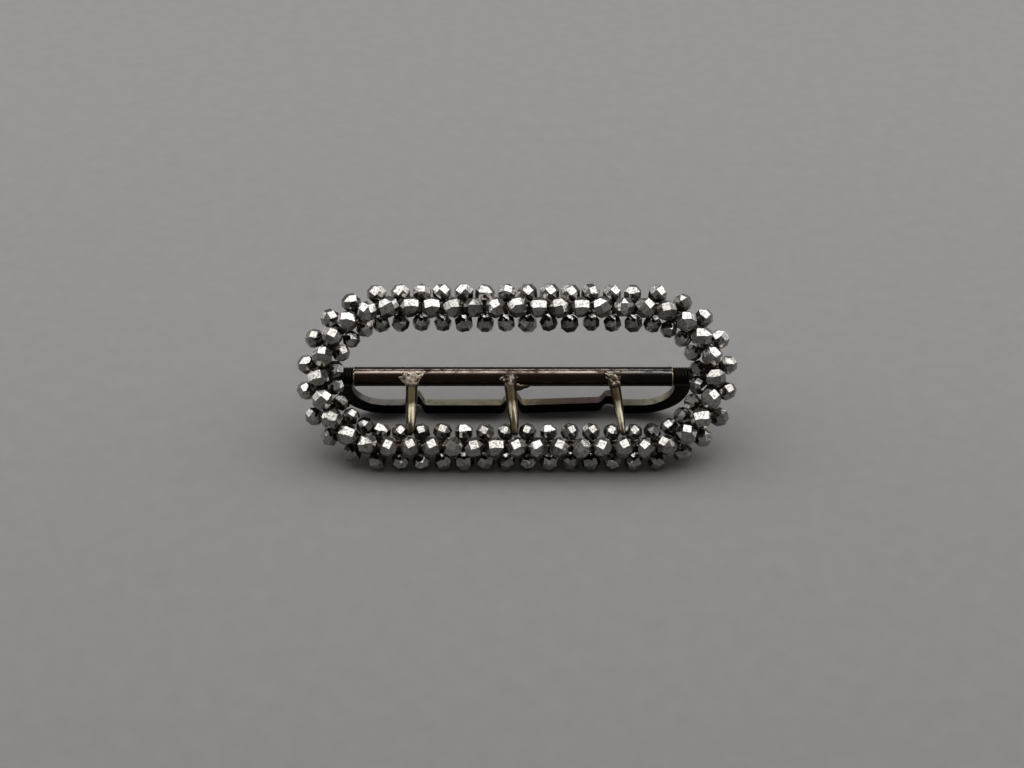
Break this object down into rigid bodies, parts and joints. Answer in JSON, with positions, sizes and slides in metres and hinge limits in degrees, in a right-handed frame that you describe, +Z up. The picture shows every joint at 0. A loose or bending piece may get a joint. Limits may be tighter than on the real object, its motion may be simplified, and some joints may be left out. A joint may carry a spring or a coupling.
{
  "type": "cut steel sash buckle",
  "caption": "Long oval sash buckle wound with rows of faceted steel beads, with a three-pronged bar and a hinged loop behind.",
  "frame": {"origin": "centre of the object's box on the surface that it stands on", "axes": "+X along the bar to the right of the beaded front, +Y from the front to the back, +Z up"},
  "size_m": [0.077, 0.0228, 0.0257],
  "materials": {
    "cut_steel": "polished flat facets, worn at the edges",
    "blackened_rod": "blackened, dull",
    "dull_steel": "drawn, dull",
    "iron_wire": "drawn and darkened",
    "bronzed_bar": "brown lacquer on brass, rubbed to the metal on the prongs",
    "blackened_plate": "blackened plate, rubbed bare on its edges"
  },
  "bodies": {
    "frame": {"frame_ring": "blackened_rod", "hinge_pin": "dull_steel", "outer_beads": "cut_steel", "middle_beads": "cut_steel", "inner_beads": "cut_steel", "binding_wire": "iron_wire"},
    "bar": {"prong_bar": "bronzed_bar"},
    "loop": {"sash_loop": "blackened_plate"}
  },
  "joints": [
    {"name": "bar_hinge", "type": "hinge", "parent": "frame", "child": "bar", "pos_m": [-0.00065, 0.00284, 0.01102], "axis": [-1, 0, 0], "range_deg": [0, 120]},
    {"name": "loop_hinge", "type": "hinge", "parent": "frame", "child": "loop", "pos_m": [-0.00065, 0.00284, 0.01102], "axis": [1, 0, 0], "range_deg": [-55, 108]}
  ]
}
